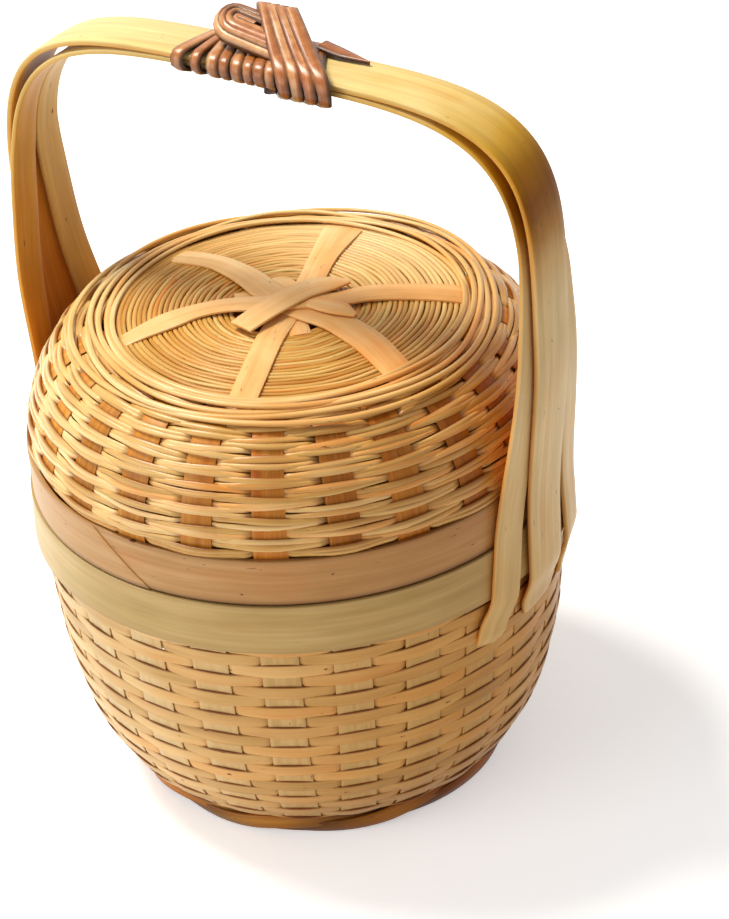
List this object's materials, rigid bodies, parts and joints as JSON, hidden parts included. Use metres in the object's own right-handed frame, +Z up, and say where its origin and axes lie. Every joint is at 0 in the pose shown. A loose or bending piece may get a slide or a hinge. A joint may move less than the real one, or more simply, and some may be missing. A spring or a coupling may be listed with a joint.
{
  "type": "lidded bamboo food basket",
  "caption": "Round woven bamboo basket on a twined foot, with a domed woven lid that lifts off under an arched split-bamboo handle wound with rattan at its top.",
  "frame": {"origin": "middle of the foot's lower edge, where the basket stands", "axes": "+Z up along the basket's axis; the handle's arch stands over the X axis; -Y is the side that the picture shows"},
  "size_m": [0.176, 0.1626, 0.237],
  "materials": {
    "bamboo_strip": "split bamboo, scraped smooth",
    "bamboo_weft": "fine split bamboo, matt",
    "handle_bamboo": "split bamboo with its smooth rind outside",
    "rattan": "stained rattan peel, semi-gloss"
  },
  "bodies": {
    "basket": {"foot_hoop": "bamboo_strip", "foot_strand_1": "bamboo_weft", "foot_strand_2": "bamboo_weft", "bowl_wall": "bamboo_weft", "floor_mat": "bamboo_weft", "bowl_stake_01": "bamboo_strip", "bowl_stake_02": "bamboo_strip", "bowl_stake_03": "bamboo_strip", "bowl_stake_04": "bamboo_strip", "bowl_stake_05": "bamboo_strip", "bowl_stake_06": "bamboo_strip", "bowl_stake_07": "bamboo_strip", "bowl_stake_08": "bamboo_strip", "bowl_stake_09": "bamboo_strip", "bowl_stake_10": "bamboo_strip", "bowl_stake_11": "bamboo_strip", "bowl_stake_12": "bamboo_strip", "bowl_stake_13": "bamboo_strip", "bowl_stake_14": "bamboo_strip", "bowl_stake_15": "bamboo_strip", "bowl_stake_16": "bamboo_strip", "bowl_stake_17": "bamboo_strip", "bowl_stake_18": "bamboo_strip", "bowl_stake_19": "bamboo_strip", "bowl_stake_20": "bamboo_strip", "bowl_stake_21": "bamboo_strip", "bowl_stake_22": "bamboo_strip", "bowl_stake_23": "bamboo_strip", "bowl_stake_24": "bamboo_strip", "bowl_outer_hoop": "bamboo_strip", "bowl_inner_hoop": "bamboo_strip", "handle_outer_strip": "handle_bamboo", "handle_inner_strip_front": "handle_bamboo", "handle_inner_strip_back": "handle_bamboo", "rattan_wrap": "rattan", "rattan_band": "rattan", "rattan_loop": "rattan", "rattan_tail": "rattan"},
    "lid": {"lid_outer_hoop": "bamboo_strip", "lid_inner_hoop": "bamboo_strip", "lid_dome": "bamboo_weft", "lid_crown_coil": "bamboo_weft", "lid_crossing_strip_1": "bamboo_strip", "lid_crossing_strip_2": "bamboo_strip", "lid_crossing_strip_3": "bamboo_strip", "lid_top_strip": "bamboo_strip", "lid_stakes": "bamboo_strip"}
  },
  "joints": [
    {"name": "lid_lift", "type": "slide", "parent": "basket", "child": "lid", "axis": [0, 0, 1], "range_m": [0, 0.06]}
  ]
}
